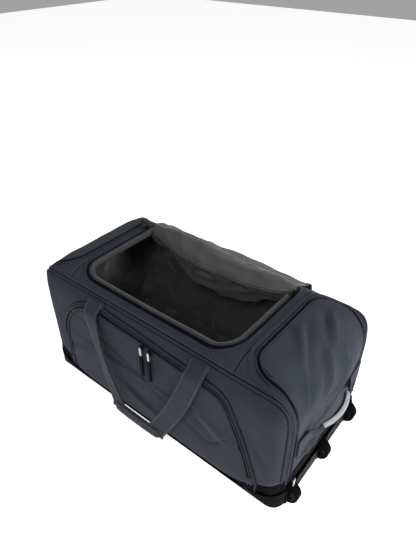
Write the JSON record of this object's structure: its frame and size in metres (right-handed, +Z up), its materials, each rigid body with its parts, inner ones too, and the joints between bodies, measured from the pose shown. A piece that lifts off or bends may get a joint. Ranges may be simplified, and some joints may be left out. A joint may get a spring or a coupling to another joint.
{
  "type": "rolling duffel bag",
  "caption": "Large soft duffel bag with a U-zipped lid, front pocket, webbing carry handles, end grab handles and in-line wheels under one end.",
  "frame": {"origin": "on the floor, under the middle of the bag, on the underside of the middle skid rail", "axes": "+X along the bag to the wheeled end, -Y to the front pocket, +Z up"},
  "size_m": [0.834, 0.4824, 0.3713],
  "materials": {
    "shell_fabric": "slate polyester twill",
    "end_fabric": "slate polyester, darker",
    "base_fabric": "black coated polyester",
    "lining": "charcoal nylon lining",
    "board": "stiff sheet",
    "moulded_plastic": "moulded, satin gloss",
    "skid_plastic": "matt",
    "piping": "covered cord",
    "zip_tape": "woven tape with coil",
    "binding": "lining tape",
    "webbing": "woven webbing",
    "grip_webbing": "padded webbing",
    "tyre": "matt polyurethane",
    "hub_plastic": "matt",
    "steel": "plated",
    "zip_metal": "nickel-plated",
    "pull_rubber": "soft rubber"
  },
  "bodies": {
    "bag": {"back_handle_anchors": "webbing", "back_panel": "shell_fabric", "back_piping": "piping", "base_board": "board", "base_panel": "base_fabric", "base_rivets": "steel", "base_tray": "moulded_plastic", "front_handle_anchors": "webbing", "front_panel": "shell_fabric", "front_piping": "piping", "front_pocket": "shell_fabric", "front_pocket_zip": "zip_tape", "left_end_panel": "end_fabric", "left_end_zip": "zip_tape", "left_grab_tabs": "webbing", "left_gusset": "shell_fabric", "lining": "lining", "mouth_binding": "binding", "mouth_zip": "zip_tape", "right_end_panel": "end_fabric", "right_end_zip": "zip_tape", "right_grab_tabs": "webbing", "right_gusset": "shell_fabric", "skid_rails": "skid_plastic", "top_panel": "shell_fabric", "wheel_axles": "steel", "wheel_housings": "moulded_plastic", "zip_garages": "webbing"},
    "front_wheel": {"front_wheel_tyre": "tyre", "front_wheel_hub": "hub_plastic", "front_wheel_bearings": "steel"},
    "centre_wheel": {"centre_wheel_tyre": "tyre", "centre_wheel_hub": "hub_plastic", "centre_wheel_bearings": "steel"},
    "back_wheel": {"back_wheel_tyre": "tyre", "back_wheel_hub": "hub_plastic", "back_wheel_bearings": "steel"},
    "front_handle": {"front_handle_straps": "webbing", "front_handle_grip": "grip_webbing"},
    "back_handle": {"back_handle_straps": "webbing", "back_handle_grip": "grip_webbing"},
    "lid_inner": {"lid_inner_leaf": "lining"},
    "lid_outer": {"lid_outer_leaf": "shell_fabric", "lid_zip": "zip_tape"},
    "mouth_slider_left": {"mouth_slider_left": "zip_metal"},
    "mouth_pull_left": {"mouth_pull_left": "zip_metal"},
    "mouth_slider_right": {"mouth_slider_right": "zip_metal"},
    "mouth_pull_right": {"mouth_pull_right": "zip_metal"},
    "left_end_slider": {"left_end_slider": "zip_metal"},
    "left_end_pull": {"left_end_pull": "zip_metal"},
    "right_end_slider": {"right_end_slider": "zip_metal"},
    "right_end_pull": {"right_end_pull": "zip_metal"},
    "pocket_slider_left": {"pocket_slider_left": "zip_metal"},
    "pocket_pull_left": {"pocket_pull_link_left": "zip_metal", "pocket_pull_rubber_left": "pull_rubber"},
    "pocket_slider_right": {"pocket_slider_right": "zip_metal"},
    "pocket_pull_right": {"pocket_pull_link_right": "zip_metal", "pocket_pull_rubber_right": "pull_rubber"},
    "left_grab": {"left_grab_grip": "grip_webbing"},
    "right_grab": {"right_grab_grip": "grip_webbing"}
  },
  "joints": [
    {"name": "front_wheel_spin", "type": "hinge", "parent": "bag", "child": "front_wheel", "pos_m": [0.376, -0.142, 0.032], "axis": [0, 1, 0], "continuous": true},
    {"name": "centre_wheel_spin", "type": "hinge", "parent": "bag", "child": "centre_wheel", "pos_m": [0.376, 0, 0.032], "axis": [0, 1, 0], "continuous": true},
    {"name": "back_wheel_spin", "type": "hinge", "parent": "bag", "child": "back_wheel", "pos_m": [0.376, 0.142, 0.032], "axis": [0, 1, 0], "continuous": true},
    {"name": "front_handle_swing", "type": "hinge", "parent": "bag", "child": "front_handle", "pos_m": [0, -0.18335, 0.32608], "axis": [-1, 0, 0], "range_deg": [0, 168]},
    {"name": "back_handle_swing", "type": "hinge", "parent": "bag", "child": "back_handle", "pos_m": [0, 0.19365, 0.30669], "axis": [1, 0, 0], "range_deg": [0, 9]},
    {"name": "lid_swing", "type": "hinge", "parent": "bag", "child": "lid_inner", "pos_m": [0, 0.129, 0.3655], "axis": [1, 0, 0], "range_deg": [0, 208]},
    {"name": "lid_unfold", "type": "hinge", "parent": "lid_inner", "child": "lid_outer", "pos_m": [0, 0.21, 0.32243], "axis": [1, 0, 0], "range_deg": [0, 54.01]},
    {"name": "mouth_zip_left", "type": "slide", "parent": "bag", "child": "mouth_slider_left", "axis": [0, -1, 0], "range_m": [0, 0.17]},
    {"name": "mouth_pull_left_flip", "type": "hinge", "parent": "mouth_slider_left", "child": "mouth_pull_left", "pos_m": [-0.268, 0.1, 0.3705], "axis": [-1, 0, 0], "range_deg": [0, 170]},
    {"name": "mouth_zip_right", "type": "slide", "parent": "bag", "child": "mouth_slider_right", "axis": [0, -1, 0], "range_m": [0, 0.17]},
    {"name": "mouth_pull_right_flip", "type": "hinge", "parent": "mouth_slider_right", "child": "mouth_pull_right", "pos_m": [0.211, 0.1, 0.3705], "axis": [-1, 0, 0], "range_deg": [0, 170]},
    {"name": "left_end_zip_run", "type": "slide", "parent": "bag", "child": "left_end_slider", "axis": [0, 0, -1], "range_m": [0, 0.13]},
    {"name": "left_end_pull_flip", "type": "hinge", "parent": "left_end_slider", "child": "left_end_pull", "pos_m": [-0.3935, -0.152, 0.235], "axis": [0, 1, 0], "range_deg": [0, 170]},
    {"name": "right_end_zip_run", "type": "slide", "parent": "bag", "child": "right_end_slider", "axis": [0, 0, 1], "range_m": [0, 0.13]},
    {"name": "right_end_pull_flip", "type": "hinge", "parent": "right_end_slider", "child": "right_end_pull", "pos_m": [0.3935, -0.152, 0.1], "axis": [0, -1, 0], "range_deg": [0, 170]},
    {"name": "pocket_zip_left", "type": "slide", "parent": "bag", "child": "pocket_slider_left", "axis": [-1, 0, 0], "range_m": [0, 0.06]},
    {"name": "pocket_pull_left_flip", "type": "hinge", "parent": "pocket_slider_left", "child": "pocket_pull_left", "pos_m": [0.008, -0.21025, 0.29576], "axis": [-1, 0, 0], "range_deg": [0, 150]},
    {"name": "pocket_zip_right", "type": "slide", "parent": "bag", "child": "pocket_slider_right", "axis": [1, 0, 0], "range_m": [0, 0.04]},
    {"name": "pocket_pull_right_flip", "type": "hinge", "parent": "pocket_slider_right", "child": "pocket_pull_right", "pos_m": [0.033, -0.21061, 0.29412], "axis": [-1, 0, 0], "range_deg": [0, 150]},
    {"name": "left_grab_tilt", "type": "hinge", "parent": "bag", "child": "left_grab", "pos_m": [-0.396, 0, 0.188], "axis": [0, 1, 0], "range_deg": [-35, 35]},
    {"name": "right_grab_tilt", "type": "hinge", "parent": "bag", "child": "right_grab", "pos_m": [0.396, 0, 0.188], "axis": [0, -1, 0], "range_deg": [-35, 35]}
  ],
  "couplings": [
    {"joint": "lid_unfold", "follows": "lid_swing", "ratio": 0.25961}
  ]
}
